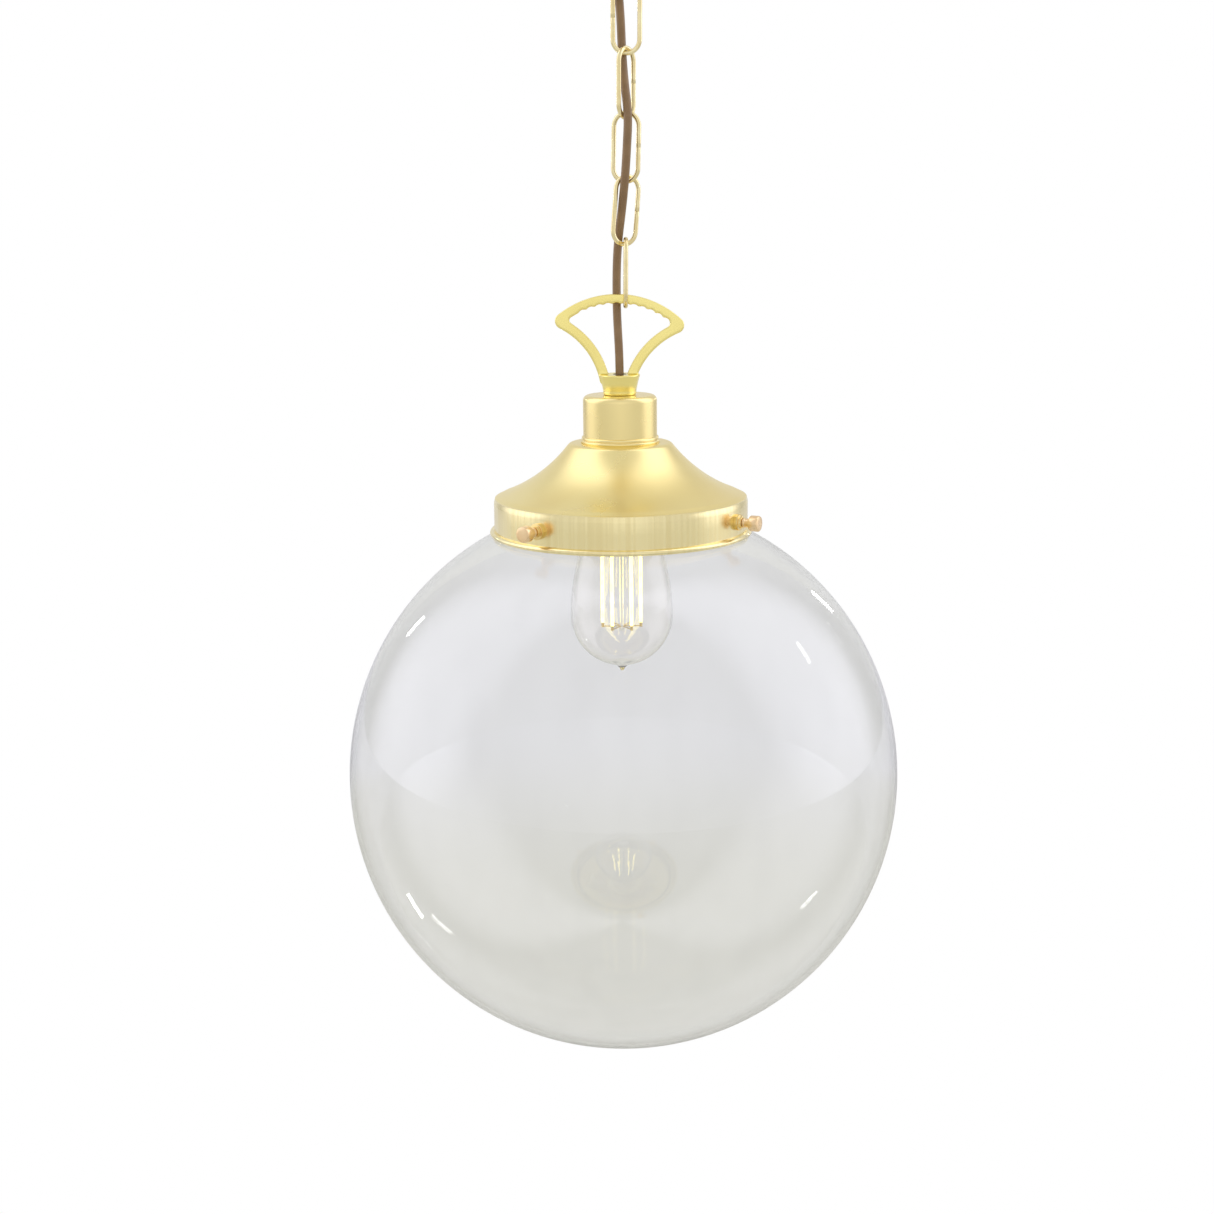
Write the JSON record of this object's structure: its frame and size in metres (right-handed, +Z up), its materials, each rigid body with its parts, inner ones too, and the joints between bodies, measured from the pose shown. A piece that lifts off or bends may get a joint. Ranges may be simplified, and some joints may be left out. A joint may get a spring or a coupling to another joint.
{
  "type": "globe pendant light",
  "caption": "Clear glass globe pendant light with a spun brass gallery and thumb screws, hung by a fan-shaped loop and oval-link chain from a ceiling rose.",
  "frame": {"origin": "on the ceiling plane, on the axis of the rose, midway between the bracket's two screw slots", "axes": "+Z up into the ceiling; -Y towards the front, where two thumb screws show; +X to the right"},
  "size_m": [0.3472, 0.347, 0.7504],
  "materials": {
    "brass": "polished, lacquered",
    "bright_brass": "polished, lemon tone",
    "chain_brass": "polished wire",
    "turned_brass": "turned, fine rings",
    "zinc_steel": "zinc plated",
    "holder_metal": "satin",
    "screw_shell": "nickel-flashed, plain",
    "porcelain": "glazed",
    "clear_glass": "clear, blown",
    "bulb_glass": "clear, thin",
    "black_glass": "fused glass bead",
    "solder": "soldered",
    "filament": "glowing phosphor",
    "support_wire": "drawn wire",
    "brown_flex": "satin brown sheath",
    "core_plastic": "satin",
    "bush_plastic": "satin",
    "block_plastic": "moulded"
  },
  "bodies": {
    "ceiling_rose": {"mounting_bracket": "zinc_steel", "rose_nipple": "brass", "rose_nuts": "brass", "rose_cover": "brass", "rose_loop": "brass", "rose_bush": "bush_plastic", "terminal_block": "block_plastic", "terminal_screws": "zinc_steel", "rose_flex": "brown_flex", "rose_core_wires": "core_plastic", "flex_7": "brown_flex"},
    "link_6": {"chain_link_6": "chain_brass", "flex_6": "brown_flex"},
    "link_5": {"chain_link_5": "chain_brass", "flex_5": "brown_flex"},
    "link_4": {"chain_link_4": "chain_brass", "flex_4": "brown_flex"},
    "link_3": {"chain_link_3": "chain_brass", "flex_3": "brown_flex"},
    "link_2": {"chain_link_2": "chain_brass", "flex_2": "brown_flex"},
    "link_1": {"chain_link_1": "chain_brass", "flex_1": "brown_flex"},
    "lamp": {"suspension_loop": "bright_brass", "cord_bush": "bush_plastic", "lamp_nipple": "brass", "neck_cup": "brass", "cup_nut": "brass", "gallery": "brass", "screw_bosses": "turned_brass", "holder_cap": "holder_metal", "holder_body": "holder_metal", "shade_ring": "brass", "holder_insulator": "porcelain", "holder_thread": "screw_shell", "holder_contact": "zinc_steel", "holder_terminals": "zinc_steel", "lamp_flex": "brown_flex", "lamp_core_wires": "core_plastic"},
    "globe": {"glass_globe": "clear_glass"},
    "screw_1": {"thumb_screw_1": "turned_brass"},
    "screw_2": {"thumb_screw_2": "turned_brass"},
    "screw_3": {"thumb_screw_3": "turned_brass"},
    "bulb": {"bulb_glass": "bulb_glass", "bulb_cap": "screw_shell", "bulb_insulator": "black_glass", "bulb_contact": "solder", "bulb_stem": "bulb_glass", "bulb_filaments": "filament", "bulb_supports": "support_wire"}
  },
  "joints": [
    {"name": "link_6_swing", "type": "hinge", "parent": "ceiling_rose", "child": "link_6", "pos_m": [0, 0, -0.0625], "axis": [1, 0, 0], "range_deg": [-12, 12], "deforming": ["flex_7"]},
    {"name": "link_5_swing", "type": "hinge", "parent": "link_6", "child": "link_5", "pos_m": [0, 0, -0.0985], "axis": [0, 1, 0], "range_deg": [-12, 12], "deforming": ["flex_6"]},
    {"name": "link_4_swing", "type": "hinge", "parent": "link_5", "child": "link_4", "pos_m": [0, 0, -0.1354], "axis": [1, 0, 0], "range_deg": [-12, 12], "deforming": ["flex_5"]},
    {"name": "link_3_swing", "type": "hinge", "parent": "link_4", "child": "link_3", "pos_m": [0, 0, -0.1723], "axis": [0.5592, 0.829, 0], "range_deg": [-12, 12], "deforming": ["flex_4"]},
    {"name": "link_2_swing", "type": "hinge", "parent": "link_3", "child": "link_2", "pos_m": [0, 0, -0.20919], "axis": [0.9336, -0.3584, 0], "range_deg": [-12, 12], "deforming": ["flex_3"]},
    {"name": "link_1_swing", "type": "hinge", "parent": "link_2", "child": "link_1", "pos_m": [0, 0, -0.2459], "axis": [0.8572, 0.515, 0], "range_deg": [-12, 12], "deforming": ["flex_2"]},
    {"name": "lamp_swing", "type": "hinge", "parent": "link_1", "child": "lamp", "pos_m": [0, 0, -0.2828], "axis": [0, 1, 0], "range_deg": [-15, 15], "deforming": ["flex_1"]},
    {"name": "globe_drop", "type": "slide", "parent": "lamp", "child": "globe", "axis": [0.0105, 0, -0.9999], "range_m": [0, 0.0065]},
    {"name": "thumb_screw_1_out", "type": "slide", "parent": "lamp", "child": "screw_1", "axis": [-0.6225, -0.7826, -0.0065], "range_m": [0, 0.0065]},
    {"name": "thumb_screw_2_out", "type": "slide", "parent": "lamp", "child": "screw_2", "axis": [0.8829, -0.4695, 0.0092], "range_m": [0, 0.0065]},
    {"name": "thumb_screw_3_out", "type": "slide", "parent": "lamp", "child": "screw_3", "axis": [-0.2334, 0.9724, -0.0024], "range_m": [0, 0.0065]},
    {"name": "bulb_out", "type": "slide", "parent": "lamp", "child": "bulb", "axis": [0.0105, 0, -0.9999], "range_m": [0, 0.026]}
  ],
  "couplings": [
    {"joint": "thumb_screw_1_out", "follows": "globe_drop", "ratio": 1},
    {"joint": "thumb_screw_2_out", "follows": "globe_drop", "ratio": 1},
    {"joint": "thumb_screw_3_out", "follows": "globe_drop", "ratio": 1}
  ]
}
